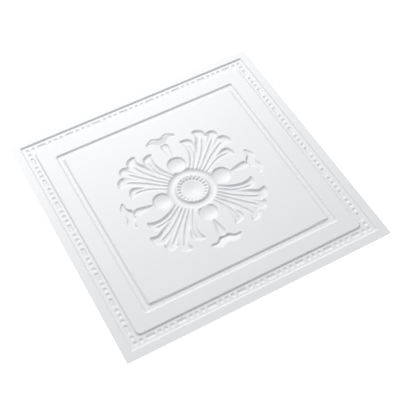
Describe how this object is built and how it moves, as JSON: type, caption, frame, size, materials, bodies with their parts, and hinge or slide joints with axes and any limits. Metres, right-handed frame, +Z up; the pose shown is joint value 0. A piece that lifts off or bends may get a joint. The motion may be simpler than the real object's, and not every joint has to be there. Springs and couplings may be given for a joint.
{
  "type": "textured wall panel",
  "caption": "Square thin-sheet wall panel, its bead-and-reel border, square groove and central rosette with palmettes sunk below a flat face",
  "frame": {"origin": "middle of the plane that the panel's lowest relief rests on, in millimetres scaled to metres", "axes": "X and Y along the two pairs of edges, Z up out of the pictured face"},
  "size_m": [0.6, 0.6, 0.0064],
  "materials": {
    "sheet": "soft satin gloss, plain white, moulded in one piece"
  },
  "bodies": {
    "root": {"panel": "sheet"}
  },
  "joints": []
}
